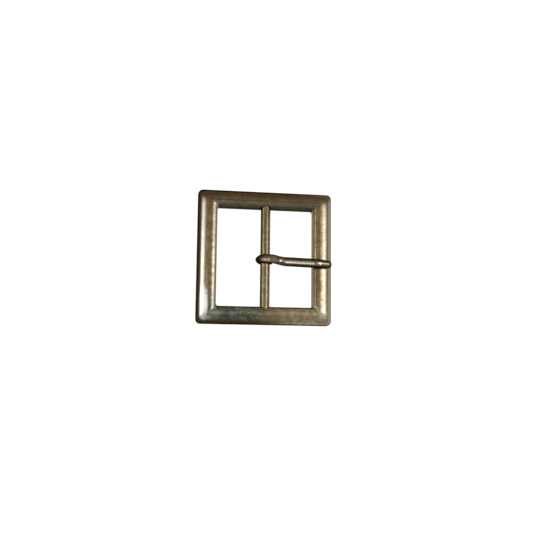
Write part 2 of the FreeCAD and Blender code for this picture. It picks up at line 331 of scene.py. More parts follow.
def frame_rings(size):
    """Half widths, corner radius and height of each ring, from the back rim's edge
    up the outer wall, over the face, down the inner wall and round the hollow."""
    rings = []

    def outside(inset, height, least=LEAST_CORNER, swell=0.0):
        corner = max(size.outer_corner - inset, least) + swell
        rings.append((HALF_ACROSS - inset, HALF_ALONG - inset, corner, height))

    def inside(outset, height, corner=None):
        if corner is None:
            corner = max(size.inner_corner - INNER_CORNER_LOSS * outset, LEAST_CORNER)
        rings.append((size.opening_across / 2 + outset, size.opening_along / 2 + outset,
                      corner, height))

    for flank, end in QUARTER:
        outside(EDGE_ROUND * end, EDGE_ROUND * flank)

    round_end = math.atan2(size.round_height / size.round_width, math.tan(size.face_lean))
    wall_top = FRAME_TOP - size.face_crown - size.round_height * math.sin(round_end)
    outside(0.0, wall_top)
    for step in range(1, ROUND_STEPS + 1):
        turn = round_end * step / ROUND_STEPS
        inset = size.round_width * (1 - math.cos(turn))
        swell = size.corner_swell * math.sin(math.pi * min(inset / size.round_width, 1.0))
        outside(inset, wall_top + size.round_height * math.sin(turn), swell=swell)

    face_x, face_y, _, face_height = rings[-1]
    bevel_start = math.atan(math.tan(size.bevel_lean) * size.bevel_width / size.bevel_depth)
    bevel_reach = size.bevel_width * (1 - math.sin(bevel_start))
    for step in range(1, FACE_STEPS):
        share = step / FACE_STEPS
        rings.append((between(face_x, size.opening_across / 2 + bevel_reach, share),
                      between(face_y, size.opening_along / 2 + bevel_reach, share),
                      LEAST_CORNER, face_height + 4 * size.face_crown * share * (1 - share)))

    bevel_top = face_height + size.bevel_depth * (1 - math.cos(bevel_start))
    for step in range(BEVEL_STEPS + 1):
        turn = between(bevel_start, math.pi / 2, step / BEVEL_STEPS)
        inside(size.bevel_width * (1 - math.sin(turn)),
               bevel_top - size.bevel_depth * (1 - math.cos(turn)))
    inside(0.0, EDGE_ROUND)
    for flank, end in QUARTER[1:]:
        inside(EDGE_ROUND * flank, EDGE_ROUND * end)

    wall, rim, depth = size.inner_rim, size.rim, size.back_depth
    inside(wall - HOLLOW_CHAMFER, 0.0, HOLLOW_INNER_CORNER)
    inside(wall, HOLLOW_CHAMFER, HOLLOW_INNER_CORNER)
    inside(wall, depth - HOLLOW_ROOT, HOLLOW_INNER_CORNER)
    for flank, end in QUARTER[1:]:
        inside(wall + HOLLOW_ROOT * flank, depth - HOLLOW_ROOT * end, HOLLOW_INNER_CORNER)
    for flank, end in QUARTER:
        outside(rim + HOLLOW_ROOT * end, depth - HOLLOW_ROOT * flank, HOLLOW_OUTER_CORNER)
    outside(rim, HOLLOW_CHAMFER, HOLLOW_OUTER_CORNER)
    outside(rim - HOLLOW_CHAMFER, 0.0, HOLLOW_EDGE_CORNER)
    return rings


def frame_body(size):
    """The frame's skin: ring bridged to ring, the last one back to the first. Each ring is made
    at a height of its own and moved to its real height once all are bridged."""
    bm = bmesh.new()
    rings = frame_rings(size)
    loops = [rounded_ring(bm, half_x, half_y, corner, index)
             for index, (half_x, half_y, corner, _) in enumerate(rings)]
    for index, loop in enumerate(loops):
        bmesh.ops.bridge_loops(bm, edges=loops[index - 1] + loop)
    for index, loop in enumerate(loops):
        points = list({vert for edge in loop for vert in edge.verts})
        bmesh.ops.translate(bm, verts=points, vec=(0, 0, rings[index][3] - index))
    close_mesh(bm)
    return mesh_object(bm, "antique_frame")


def seat_the_bar(body, size):
    """Bosses, mouths, seats, slots and punch marks, one of each at both ends of the bar."""
    start = size.opening_along / 2
    wall_end = start + size.inner_rim
    seat_end = start + size.seat_depth + SEAT_END_ROOM

    bm = bmesh.new()
    half = BAR_RADIUS + size.boss_wall
    block(bm, (-half, start + size.inner_rim / 2, BOSS_FOOT),
          (half, HALF_ALONG - size.rim / 2, size.back_depth + BOSS_ROOT))
    underside = min(bm.faces, key=lambda face: face.calc_center_median().z)
    bmesh.ops.bevel(bm, geom=underside.edges[:], offset=BOSS_BEVEL, affect="EDGES", segments=3,
                    profile=0.5, material=-1)
    carve(body, bm, "UNION")

    for reach, end in ((BAR_RADIUS + size.mouth_gap, wall_end), (BAR_RADIUS + SEAT_ROOM, seat_end)):
        bm = bmesh.new()
        place = Matrix.Translation((0, (end + start - OVERCUT) / 2, BAR_HEIGHT))
        bmesh.ops.create_cone(bm, cap_ends=True, segments=64, radius1=reach, radius2=reach,
                              depth=end - start + OVERCUT,
                              matrix=place @ Matrix.Rotation(math.radians(90), 4, "X"))
        carve(body, bm, "DIFFERENCE")

    bm = bmesh.new()
    half_slot = size.lip_opening / 2
    block(bm, (-half_slot, start - OVERCUT, -OVERCUT), (half_slot, seat_end, BAR_HEIGHT))
    carve(body, bm, "DIFFERENCE")

    bm = bmesh.new()
    for side in (-1, 1):
        place = Matrix.Translation((side * (half_slot + PUNCH_OFFSET), (wall_end + seat_end) / 2,
                                    PUNCH_HEIGHT))
        bmesh.ops.create_cone(bm, cap_ends=True, segments=24, radius1=PUNCH_MOUTH,
                              radius2=PUNCH_POINT, depth=PUNCH_LENGTH, matrix=place)
    carve(body, bm, "DIFFERENCE")


# ---- Bar ----

def bar_body():
    """The bar: circles bridged along Y, with bevelled ends."""
    bm = bmesh.new()
    narrow = BAR_RADIUS - BAR_BEVEL
    rings = [(-BAR_END, narrow), (-BAR_END + BAR_BEVEL, BAR_RADIUS)]
    rings += [(place, BAR_RADIUS) for place in BAR_RINGS]
    rings += [(BAR_END - BAR_BEVEL, BAR_RADIUS), (BAR_END, narrow)]
    loops = []
    for place, reach in rings:
        before = set(bm.edges)
        turn = Matrix.Translation((0, place, BAR_HEIGHT)) @ Matrix.Rotation(math.radians(90), 4, "X")
        bmesh.ops.create_circle(bm, segments=64, radius=reach, matrix=turn)
        loops.append(new_edges(bm, before))
    bridge_row(bm, loops)
    return mesh_object(bm, "round_bar")


# ---- Prong ----

def ease(start_value, end_value, start, end, x):
    """Smooth change from one value to another while x goes from start to end."""
    share = max(0.0, min(1.0, (x - start) / (end - start)))
    return between(start_value, end_value, share * share * (3 - 2 * share))


def oval_ring(bm, width, thickness, squareness, place, segments=36):
    """A circle drawn out to a rounded section, then set in its place."""
    before = set(bm.edges)
    ring = bmesh.ops.create_circle(bm, segments=segments, radius=1.0)["verts"]
    power = 2 / squareness
    for vert in ring:
        across = math.copysign(abs(vert.co.x) ** power, vert.co.x) * width / 2
        up = math.copysign(abs(vert.co.y) ** power, vert.co.y) * thickness / 2
        vert.co = place @ Vector((0, across, up))
    return new_edges(bm, before)


class ProngLine:
    """Where the prong runs, and its section, at each place along it."""

    def __init__(self, size):
        self.size = size
        self.bore = BAR_RADIUS + size.loop_gap
        self.neck_under = BAR_HEIGHT + self.bore
        self.shoulder = size.neck_length + size.shoulder_length
        self.rail = size.opening_across / 2
        self.dome_start = HALF_ACROSS - TIP_INSET - TIP_DOME

    def under(self, x):
        """Height of the underside."""
        low = self.neck_under + NECK_RISE
        if x < self.shoulder:
            return ease(self.neck_under, low, self.size.neck_length, self.shoulder, x)
        share = min(1.0, (x - self.shoulder) / (self.rail - self.shoulder))
        droop = max(0.0, x - (HALF_ACROSS - DROOP_LENGTH)) ** 2 / DROOP_SPREAD
        return between(low, FRAME_TOP + REST_GAP, share) - droop

    def side(self, x):
        """Y of the middle line."""
        swerve = ease(LOOP_SIDE, SHANK_SIDE, SWERVE_START, self.shoulder + SWERVE_PAST, x)
        return swerve + SHANK_SKEW * max(0.0, x - self.shoulder)

    def section(self, x):
        """Width, thickness and squareness of the neck and the shank."""
        size = self.size
        width = ease(size.loop_width, size.shank_width, 0.0, WIDEST, x)
        width += ease(0.0, size.tip_width - size.shank_width, TAPER_START, self.dome_start, x)
        thick = ease(size.loop_top, size.shank_thickness, size.neck_length - THICKENING,
                     self.shoulder, x)
        thick += ease(0.0, size.tip_thickness - size.shank_thickness, TAPER_START, self.dome_start, x)
        return width, thick, ease(LOOP_SQUARENESS, SHANK_SQUARENESS, FLAT_END, self.shoulder, x)

    def middle(self, x):
        """Height of the middle line."""
        return self.under(x) + self.section(x)[1] / 2

    def shank_place(self, x, share=1.0):
        """Section and place at X, drawn in to a share of its size, at the slope of that millimetre."""
        width, thick, squareness = self.section(x)
        slope = math.atan(self.middle(x + 0.5) - self.middle(x - 0.5))
        place = Matrix.Translation((x, self.side(x), self.middle(x)))
        return width * share, thick * share, squareness, place @ Matrix.Rotation(-slope, 4, "Y")

    def loop_place(self, degrees):
        """Section and place of the loop at an angle about the bar."""
        size = self.size
        turn = math.radians(degrees)
        c = math.cos(turn)
        s = math.sin(turn)
        front = self.bore + size.loop_front
        over = self.bore + (size.loop_top if degrees < -180 else size.loop_under)
        outer = over if degrees > -90 else 1 / math.hypot(c / front, s / over)
        middle = (outer + self.bore) / 2
        place = Matrix.Translation((middle * c, self.side(0.0), BAR_HEIGHT + middle * s))
        place = place @ Matrix.Rotation(math.radians(90) - turn, 4, "Y")
        out = max(0.0, min(1.0, (-outer * c - NOSE_START) / (front - NOSE_START)))
        width = between(size.nose_width, size.loop_width, math.sqrt(1 - out * out))
        return width, outer - self.bore, between(LOOP_SQUARENESS, NOSE_SQUARENESS, out), place


def prong_body(size):
    """The prong: sections bridged round the bar, along the neck and shank, and over the tip."""
    line = ProngLine(size)
    closed = math.degrees(math.asin((line.bore - END_DROP) / (line.bore + size.loop_under)))
    width, thick, _, place = line.loop_place(closed)
    sections = [(width - END_NARROWER, thick - END_THINNER, END_SQUARENESS, place)]
    for step in range(LOOP_STATIONS + 1):
        sections.append(line.loop_place(between(closed - END_ROUND, LOOP_TURN, step / LOOP_STATIONS)))
    for step in range(1, SHANK_STATIONS + 1):
        sections.append(line.shank_place(line.dome_start * step / SHANK_STATIONS))
    for share in DOME_SHARES:
        sections.append(line.shank_place(line.dome_start + share * TIP_DOME,
                                         math.sqrt(1 - share * share)))
    bm = bmesh.new()
    bridge_row(bm, [oval_ring(bm, *section) for section in sections])
    return mesh_object(bm, "swinging_prong")


# ---- Finishes: nodes ----

FLOAT = "NodeSocketFloat"
COLOUR = "NodeSocketColor"
BLACK = (0.0, 0.0, 0.0, 1.0)


def opaque(value, share=1.0):
    """A colour, or a share of it, with full alpha."""
    return (value[0] * share, value[1] * share, value[2] * share, 1.0)


def wire(tree, made, inputs):
    """Link or set a node's inputs."""
    for key, value in inputs.items():
        socket = made.inputs[key]
        if isinstance(value, bpy.types.NodeSocket):
            tree.links.new(value, socket)
        else:
            socket.default_value = value
    return made


def add(tree, kind, inputs=None, **settings):
    """A new node with its settings and inputs."""
    made = tree.nodes.new(kind)
    for name, value in settings.items():
        setattr(made, name, value)
    return wire(tree, made, inputs or {})


def maths(tree, operation, first, second=0.0, clamp=False):
    made = add(tree, "ShaderNodeMath", {0: first, 1: second}, operation=operation, use_clamp=clamp)
    return made.outputs[0]


def times(tree, *values):
    """Product of masks and shares."""
    product = values[0]
    for value in values[1:]:
        product = maths(tree, "MULTIPLY", product, value)
    return product


def plus(tree, first, second):
    return maths(tree, "ADD", first, second)


def away(tree, value, middle):
    """How far a value is from a middle, either way."""
    return maths(tree, "ABSOLUTE", maths(tree, "SUBTRACT", value, middle))


def oval(tree, x, y, middle, reach):
    """1 on the rim of an oval, less inside it and more outside."""
    squares = []
    for value, centre, radius in zip((x, y), middle, reach):
        scaled = maths(tree, "DIVIDE", maths(tree, "SUBTRACT", value, centre), radius)
        squares.append(maths(tree, "POWER", scaled, 2.0))
    return plus(tree, *squares)


def ramp(tree, value, start, end, low=0.0, high=1.0):
    """Smooth change from low to high while the value goes from start to end, which may be lower."""
    if start > end:
        start, end, low, high = end, start, high, low
    ends = {"Value": value, "From Min": start, "From Max": end, "To Min": low, "To Max": high}
    return add(tree, "ShaderNodeMapRange", ends, interpolation_type="SMOOTHSTEP").outputs["Result"]


def mask(tree, measures, limits):
    """Product of ramps. Each limit is a measure's name and its ramp, or only the name of a share."""
    return times(tree, *(ramp(tree, measures[name], *ends) if ends else measures[name]
                         for name, *ends in limits))


def blend(tree, factor, first, second):
    return add(tree, "ShaderNodeMix", {0: factor, 6: first, 7: second}, data_type="RGBA").outputs[2]


def noise(tree, place, scale, detail, roughness=0.5):
    inputs = {"Vector": place, "Scale": scale, "Detail": detail, "Roughness": roughness}
    return add(tree, "ShaderNodeTexNoise", inputs).outputs["Fac"]


def object_place(tree):
    return add(tree, "ShaderNodeTexCoord").outputs["Object"]


# ---- Finishes: groups that the materials share ----

# Where the clouds turn to the light tone and to the dark one
LIGHT_CLOUD = (0.46, 0.61)
DARK_CLOUD = (0.51, 0.38)
CLOUD_SHARE = 0.65
FLECK_SHARE = 0.35

# Turn, in radians, and stretch of each set of scratches
SCRATCH_SETS = ((0.35, 26.0), (1.75, 34.0), (2.7, 20.0))
SCRATCH_TILT = (0.25, 0.2)
SCRATCH_STRETCH_Z = 6.0
SCRATCH_LINE = (0.66, 0.74)
SCRATCH_PATCH = (0.62, 0.4)
SCRATCH_PATCH_SCALE = 180.0
WAVE_SCALE = 320.0


def new_group(name, inputs, outputs):
    """An empty shader group with named inputs and outputs."""
    tree = bpy.data.node_groups.new(name, "ShaderNodeTree")
    for label, kind, default in inputs:
        socket = tree.interface.new_socket(label, in_out="INPUT", socket_type=kind)
        socket.default_value = default
    for label, kind in outputs:
        tree.interface.new_socket(label, in_out="OUTPUT", socket_type=kind)
    return tree, tree.nodes.new("NodeGroupInput").outputs, tree.nodes.new("NodeGroupOutput")


def patina_group(name):
    """Cloudy patina: two plating tones and a darker one, with fine flecks."""
    tree, given, out = new_group(
        name,
        [("Light", COLOUR, (0.7, 0.6, 0.4, 1)), ("Mid", COLOUR, (0.4, 0.3, 0.15, 1)),
         ("Dark", COLOUR, (0.1, 0.07, 0.04, 1)), ("Cloud scale", FLOAT, 250.0),
         ("Fleck scale", FLOAT, 1600.0), ("Lightness", FLOAT, 0.5), ("Darkness", FLOAT, 0.2)],
        [("Colour", COLOUR), ("Mottle", FLOAT)])
    place = object_place(tree)
    cloud = noise(tree, place, given["Cloud scale"], 6.0, 0.62)
    fleck = noise(tree, place, given["Fleck scale"], 4.0, 0.6)
    mottle = plus(tree, times(tree, cloud, CLOUD_SHARE), times(tree, fleck, FLECK_SHARE))
    light = maths(tree, "MULTIPLY", ramp(tree, mottle, *LIGHT_CLOUD), given["Lightness"], True)
    dark = maths(tree, "MULTIPLY", ramp(tree, mottle, *DARK_CLOUD), given["Darkness"], True)
    tone = blend(tree, light, given["Mid"], given["Light"])
    wire(tree, out, {"Colour": blend(tree, dark, tone, given["Dark"]), "Mottle": mottle})
    return tree


def scratch_group(name):
    """Fine rubbing scratches: sets of thin, stretched lines, in patches."""
    inputs = [("Scale", FLOAT, 900.0), ("Cover", FLOAT, 0.5)]
    tree, given, out = new_group(name, inputs, [("Height", FLOAT)])
    place = object_place(tree)
    total = None
    for turn, stretch in SCRATCH_SETS:
        inputs = {"Vector": place, "Rotation": (*SCRATCH_TILT, turn),
                  "Scale": (1.0, stretch, SCRATCH_STRETCH_Z)}
        laid = add(tree, "ShaderNodeMapping", inputs).outputs["Vector"]
        line = ramp(tree, noise(tree, laid, given["Scale"], 1.0), *SCRATCH_LINE)
        total = line if total is None else maths(tree, "MAXIMUM", total, line)
    patch = ramp(tree, noise(tree, place, SCRATCH_PATCH_SCALE, 2.0), *SCRATCH_PATCH)
    wire(tree, out, {"Height": times(tree, total, patch, given["Cover"])})
    return tree


def skin_group(name):
    """The slightly pebbled skin that casting and barrel polishing leave."""
    inputs = [("Scale", FLOAT, 1500.0), ("Waviness", FLOAT, 0.5)]
    tree, given, out = new_group(name, inputs, [("Height", FLOAT)])
    place = object_place(tree)
    grain = noise(tree, place, given["Scale"], 3.0)
    wave = noise(tree, place, WAVE_SCALE, 1.0)
    wire(tree, out, {"Height": plus(tree, grain, times(tree, wave, given["Waviness"]))})
    return tree


def place_group(name):
    """Where a point lies on the frame, in millimetres. The four sizes are given in metres."""
    sizes = ("Half across", "Half along", "Opening across", "Opening along")
    found = ("From edge", "From opening", "X", "Y", "Z")
    tree, given, out = new_group(name, [(label, FLOAT, 0.02) for label in sizes],
                                 [(label, FLOAT) for label in found])
    x, y, z = add(tree, "ShaderNodeSeparateXYZ", {"Vector": object_place(tree)}).outputs
    far = (maths(tree, "ABSOLUTE", x), maths(tree, "ABSOLUTE", y))
    edge = [maths(tree, "SUBTRACT", given[label], value) for label, value in zip(sizes[:2], far)]
    hole = [maths(tree, "SUBTRACT", value, given[label]) for label, value in zip(sizes[2:], far)]
    values = (maths(tree, "MINIMUM", *edge), maths(tree, "MAXIMUM", *hole), x, y, z)
    wire(tree, out, {label: times(tree, value, 1 / MM) for label, value in zip(found, values)})
    return tree


GROUPS = {"Cloudy patina": patina_group, "Fine scratches": scratch_group,
          "Cast skin": skin_group, "Rail places": place_group}


def shared(tree, name, inputs=None):
    """Place a shared group in a material, building the group the first time."""
    group = bpy.data.node_groups.get(name) or GROUPS[name](name)
    return add(tree, "ShaderNodeGroup", inputs, node_tree=group).outputs


# ---- Finishes: materials ----

FRAME_COAT_ROUGHNESS = 0.2
WIRE_COAT_ROUGHNESS = 0.12
MOTTLE_RANGE = (0.3, 0.7)
FRAME_SHINE = (0.38, 0.26)  # roughness where the mottle is low, and where it is high
BAR_SHINE = (0.33, 0.28)
PRONG_SHINE = (0.23, 0.18)
HOLLOW_ROUGHER = 0.25
GLARE_ROUGHER = 0.05
ROOT_ROUGHER = 0.1
ROOT_BROWN = 0.5
HOLLOW_PITTING = 4.0  # how much deeper the skin's pebbling is in the hollow
FRAME_COAT = (0.0, 0.8, 0.25, 0.0)  # the coat's weight goes as the plating darkens
WIRE_COAT = (0.0, 1.0, 0.2, 0.0)

# Cloud scale, lightness and darkness of each patina
OLIVE_CLOUDS = (400.0, 0.5, 0.8)
COOL_CLOUDS = (460.0, 0.6, 0.75)
WARM_CLOUDS = (520.0, 0.3, 0.9)
WIRE_CLOUDS = (380.0, 0.35, 0.4)

# Strength, and depth in millimetres, of the bumps
FRAME_SKIN = (0.35, 0.05)
FRAME_SCRATCHES = (0.3, 0.02)
WIRE_BUMP = (0.06, 0.004)

# The marks on the frame, laid in this order: name, colour, strength and limits.
# X and Y are millimetres from the buckle's middle, and Z is from its back.
# A limit fades in from its first value to its second, to the shares that may follow them.
FRAME_MARKS = (
    ("brown_top", "brown", 1.0,
     (("Y", 16.0, 25.0), ("From opening", 0.0, 4.5), ("Mottle", 0.42, 0.6, 1.0, 0.65))),
    ("warm_corner", "warm_patina", 0.9, (("Y", -12.0, -22.0), ("X", -2.0, 12.0))),
    ("green_corner", "cool_patina", 1.0, (("Y", -10.0, -20.0), ("X", 4.0, -8.0))),
    # Partly rubbing, partly painted highlight: the bright band sits under each lamp's highlight, wider on the
    # left, and curls into the lower right corner as a painted flare
    ("rub_and_highlight_sides", "polished", 1.0,
     (("Side edge", 0.9, 1.6), ("Side edge", 3.6, 2.3), ("From middle", 20.5, 23.0),
      ("Y", 24.2, 20.5), ("Side foot", -26.5, -24.0), ("Side share",))),
    # Painted reflection: the right rail's outer edge is made paler where the floor shows in it, with a share
    # of bright plating
    ("right_edge", "khaki", 0.9, (("X", 25.1, 25.9), ("Y", 25.5, 22.5))),
    ("right_edge_sheen", "polished", 0.3, (("right_edge",),)),
    # Grey-green patina that is also painted shade: it darkens the top rail's inner slope where the front lamp
    # would brighten it
    ("green_shaded_bevel", "verdigris", 0.55, (("Y", 19.5, 20.5), ("From opening", 3.6, 0.8))),
    # Painted highlight: bright plating on the left rail's inner bevel makes the lamp's highlight there
    # brighter and whiter
    ("left_lip", "polished", 0.3, (("X", -19.0, -19.8), ("From opening", 1.9, 1.3))),
    # Painted shade: darkens a crease on the top rail's inner slope where a lamp's reflection would show
    ("top_crease", "grime", 0.4,
     (("From opening", 3.3, 2.3), ("From opening", 0.9, 1.7), ("Y", 20.6, 21.4))),
    # Painted shade: dark plating on the lower half of the right rail's inner bevel, where the left lamp would
    # light it
    ("right_shaded_bevel", "smoke", 0.75,
     (("Y", 2.0, -8.0), ("X", 19.0, 19.5), ("Y", -20.2, -18.8), ("From opening", 2.2, 1.4),
      ("Z", 4.6, 5.2))),
    # Dark patina on the inner walls, which also paints in shade: strongest on the top and bottom rails, light
    # on the side rails
    ("inner_walls", "grime", 1.0,
     (("From opening", 1.1, 0.5), ("Z", 5.8, 5.3), ("From middle", 19.0, 19.8, 0.6, 0.1))),
    # Painted reflection: bright plating at the foot of the side rails' inner walls, where the floor shows in
    # them, more on the right
    ("wall_feet", "polished", 1.0,
     (("From opening", 0.3, 0.1), ("Foot height", 3.9, 2.4), ("From middle", 19.0, 19.5),
      ("X", -1.0, 1.0, 0.3, 0.55))),
    ("bloom", "bloom", 0.6, (("Bloom oval", 1.8, -0.6),)),
    # Painted highlight: the white patch low on the left rail stands in for a window's reflection, which the
    # small window lamp brightens
    ("painted_glare_patch", "bare", 1.0, (("Bare oval", 1.7, 0.2),)),
    # Painted shade: the outer walls darken low down and along the top rail's outer edge, most on the left,
    # less to the right and front
    ("dark_walls", "grime", 1.0, (("Walls",), ("Wall spread", 6.0, 30.0, 1.0, 0.3))),
    # Darker along the foot of the lower rail's outer wall
    ("lower_line", "grime", 0.7, (("Y", -21.0, -25.0), ("Z", 3.9, 2.9))),
    ("hollow", "grime", 0.8, (("From edge", 1.3, 1.7), ("From opening", 1.2, 1.6), ("Z", 3.7, 3.3))),
)

# Parts of the measures that those marks read
# CURL carries the painted highlight band round the lower right corner; BAND_SHIFT and SIDE_SHARES set it
# further in and weaker on the right, to match the lamps
CURL = (("Y", -19.0, -24.0), ("X", 19.0, 22.5, 0.0, 0.2))
CURL_REACH = 12.0
BAND_SHIFT = (("X", -1.0, 1.0, 0.0, 1.3),)
SIDE_SHARES = (("X", -1.0, 1.0, 0.8, 0.42),)
FOOT_DROP = (("X", 18.0, 20.0, 0.0, 1.2),)
# These place the painted shade on the outer walls: low down, along the top rail's outer edge, and fading to
# the right and the front
OUTER_WALL = (("Z", 5.5, 4.2), ("From edge", 3.0, 1.3))
TOP_WALL = (("Y", 22.0, 25.5), ("Z", 6.0, 5.3, 0.0, 0.6))
LOWER_SPREAD = (("Y", 10.0, -15.0, 0.0, 14.0),)

# Middle and reach of the two oval patches at the lower left, the painted glare and the bloom, and how ragged
# they are
GLARE_OVAL = ((-24.75, -19.0), (1.8, 7.0))
BLOOM_OVAL = ((-20.3, -22.9), (2.8, 1.3))
RAGGED = 3.0
BLOOM_RAGGED = 1.8

# Marks of the bar: painted shade down its left side and a paler painted reflection down its right. Right and
# Upward are parts of the surface's normal.
BAR_SHADE = (("Upward", 0.8, 0.35), ("Right", -0.2, 0.6, 0.95, 0.2), ("Upward", -0.4, 0.0, 0.4, 1.0))
BAR_PALE_REFLECTION = (("Right", 0.4, 0.85, 0.0, 0.8),)

# Marks of the prong: Along runs from the bar's axis to the tip, in millimetres, and Crest is
# 1 where the surface faces up and a little towards the front.
CREST_LEAN = math.radians(7.0)
PRONG_ROOT = (("Along", 3.5, 7.0, 1.0, 0.0),)
# The crest line is partly rubbing and partly a painted highlight that leans to the front softbox; PRONG_SPOTS
# and PRONG_GLINT are painted highlights
PRONG_CREST = (("Crest", 0.968, 0.998), ("Along", 2.0, 3.0), ("Along", 5.4, 6.4, 0.1, 1.0))
PRONG_SPOTS = (("Beat", -1.0, 1.0, 0.3, 0.85), ("From spot line", 0.85, 0.1),
               ("From spots", 1.4, 2.3, 1.0, 0.0), ("Crest", 0.7, 0.9))
GLINT_CREST = (0.5, 0.75)
PRONG_GLINT = (("From shoulder", 0.4, 1.0, 0.6, 0.0), ("From glint line", 0.75, 0.2))
PRONG_RUB = (("From crossing", 0.4, 1.3, 0.15, 1.0), ("Along", 21.6, 23.0, 1.0, 0.25))
# Painted shade: black where the surface turns from the crest, more on the front side, less underneath and at
# the shoulder
PRONG_SHADE = (("Crest", 0.955, 0.87), ("Back", -0.2, 0.6, 0.95, 0.75), ("Upward", -0.4, 0.0, 0.4, 1.0),
               ("From shoulder", 1.0, 2.0, 0.5, 1.0))
# BEAT_START and BEAT_LENGTH space the painted highlight spots on the loop
BEAT_START = 1.76  # the spots on the loop come and go over the beat's length
BEAT_LENGTH = 1.36

# Axis (0 along, 1 across) and middle, in millimetres, that a measure of the prong starts from
PRONG_MIDDLES = {"From spots": (0, -0.4), "From spot line": (1, -1.35), "From shoulder": (0, 6.0),
                 "From glint line": (1, -1.65), "From crossing": (0, 19.9)}


def metal(name, coat_roughness, tint):
    """A metal material with its shader's plain values set; the rest is linked later."""
    material = bpy.data.materials.new(name)
    material.use_nodes = True
    shader = material.node_tree.nodes["Principled BSDF"]
    wire(material.node_tree, shader, {"Metallic": 1.0, "Specular Tint": opaque(tint),
                                      "Coat Roughness": coat_roughness})
    return material, material.node_tree, shader


def bumped(tree, shader, heights):
    """Chain of bumps: each is a height, a strength and a depth in millimetres."""
    normal = None
    for height, amount, depth in heights:
        inputs = {"Height": height, "Strength": amount, "Distance": depth * MM}
        if normal is not None:
            inputs["Normal"] = normal
        normal = add(tree, "ShaderNodeBump", inputs).outputs["Normal"]
    tree.links.new(normal, shader.inputs["Normal"])


def patina(tree, tones, clouds):
    """Cloudy patina of a light, a middle and a dark tone."""
    inputs = dict(zip(("Light", "Mid", "Dark"), map(opaque, tones)))
    inputs.update(zip(("Cloud scale", "Lightness", "Darkness"), clouds))
    return shared(tree, "Cloudy patina", inputs)


def frame_measures(tree, size, mottle, cloud):
    """What the frame's marks are measured by: millimetres, or shares from 0 to 1."""
    places = shared(tree, "Rail places",
                    {"Half across": HALF_ACROSS * MM, "Half along": HALF_ALONG * MM,
                     "Opening across": size.opening_across / 2 * MM,
                     "Opening along": size.opening_along / 2 * MM})
    found = {label: places[label] for label in ("From edge", "From opening", "X", "Y", "Z")}
    x, y, z = found["X"], found["Y"], found["Z"]
    found["Mottle"] = mottle
    found["From middle"] = maths(tree, "ABSOLUTE", x)

    curl = mask(tree, found, CURL)
    found["Side edge"] = maths(tree, "SUBTRACT", found["From edge"], mask(tree, found, BAND_SHIFT))
    found["Side foot"] = plus(tree, y, times(tree, curl, CURL_REACH))
    found["Side share"] = plus(tree, mask(tree, found, SIDE_SHARES), curl)

    found["Foot height"] = maths(tree, "SUBTRACT", z, mask(tree, found, FOOT_DROP))
    found["Walls"] = maths(tree, "MAXIMUM", mask(tree, found, OUTER_WALL), mask(tree, found, TOP_WALL))
    found["Wall spread"] = plus(tree, x, mask(tree, found, LOWER_SPREAD))

    ragged = times(tree, maths(tree, "SUBTRACT", cloud, 0.5), RAGGED)
    found["Bare oval"] = plus(tree, oval(tree, x, y, *GLARE_OVAL), ragged)
    found["Bloom oval"] = plus(tree, oval(tree, x, y, *BLOOM_OVAL), times(tree, ragged, BLOOM_RAGGED))
    return found


def frame_material(finish, size):
    """Antique plating: three patinas, with rubbing, bloom and dark marks laid over them; some bright marks
    are painted highlights and reflections, and some dark ones are painted shade.
    """
    material, tree, shader = metal("Antique frame plating", FRAME_COAT_ROUGHNESS, finish.frame_tint)
    olive = patina(tree, (finish.khaki, finish.bronze, finish.brown), OLIVE_CLOUDS)
    cool = patina(tree, (finish.lichen, finish.verdigris, finish.grime), COOL_CLOUDS)
    warm = patina(tree, (finish.polished, finish.khaki, finish.bronze), WARM_CLOUDS)
    patinas = {"cool_patina": cool["Colour"], "warm_patina": warm["Colour"]}
    found = frame_measures(tree, size, olive["Mottle"], cool["Mottle"])
    tone = olive["Colour"]
    for name, colour_name, share, limits in FRAME_MARKS:
        found[name] = mask(tree, found, limits)
        laid = patinas.get(colour_name) or opaque(getattr(finish, colour_name))
        cover = found[name] if share == 1.0 else times(tree, found[name], share)
        tone = blend(tree, cover, tone, laid)

    dull = maths(tree, "MAXIMUM", found["dark_walls"], found["inner_walls"])
    dull = maths(tree, "MAXIMUM", dull, found["lower_line"])
    rough = ramp(tree, olive["Mottle"], *MOTTLE_RANGE, *FRAME_SHINE)
    rough = plus(tree, rough, times(tree, found["hollow"], HOLLOW_ROUGHER))
    rough = plus(tree, rough, times(tree, found["painted_glare_patch"], GLARE_ROUGHER))
    wire(tree, shader, {"Base Color": tone, "Roughness": rough,
                        "Coat Weight": ramp(tree, dull, *FRAME_COAT)})
    pitted = plus(tree, times(tree, found["hollow"], HOLLOW_PITTING), 1.0)
    skin = times(tree, shared(tree, "Cast skin")["Height"], pitted)
    scratches = shared(tree, "Fine scratches")["Height"]
    bumped(tree, shader, [(skin, *FRAME_SKIN), (scratches, *FRAME_SCRATCHES)])
    return material


def wire_start(name, finish, bronze, shine):
    """What the bar and the prong share: smooth metal, light patina and the parts of the normal."""
    material, tree, shader = metal(name, WIRE_COAT_ROUGHNESS, finish.wire_tint)
    tones = patina(tree, (finish.khaki, bronze, finish.brown), WIRE_CLOUDS)
    given = add(tree, "ShaderNodeTexCoord").outputs
    right, back, upward = add(tree, "ShaderNodeSeparateXYZ", {"Vector": given["Normal"]}).outputs
    skin = shared(tree, "Cast skin", {"Waviness": 0.3})
    scratches = shared(tree, "Fine scratches", {"Cover": 0.8})
    bumped(tree, shader, [(skin["Height"], *WIRE_BUMP), (scratches["Height"], *WIRE_BUMP)])
    rough = ramp(tree, tones["Mottle"], *MOTTLE_RANGE, *shine)
    return SimpleNamespace(material=material, tree=tree, shader=shader, given=given, rough=rough,
                           patina=tones, found={"Right": right, "Back": back, "Upward": upward})


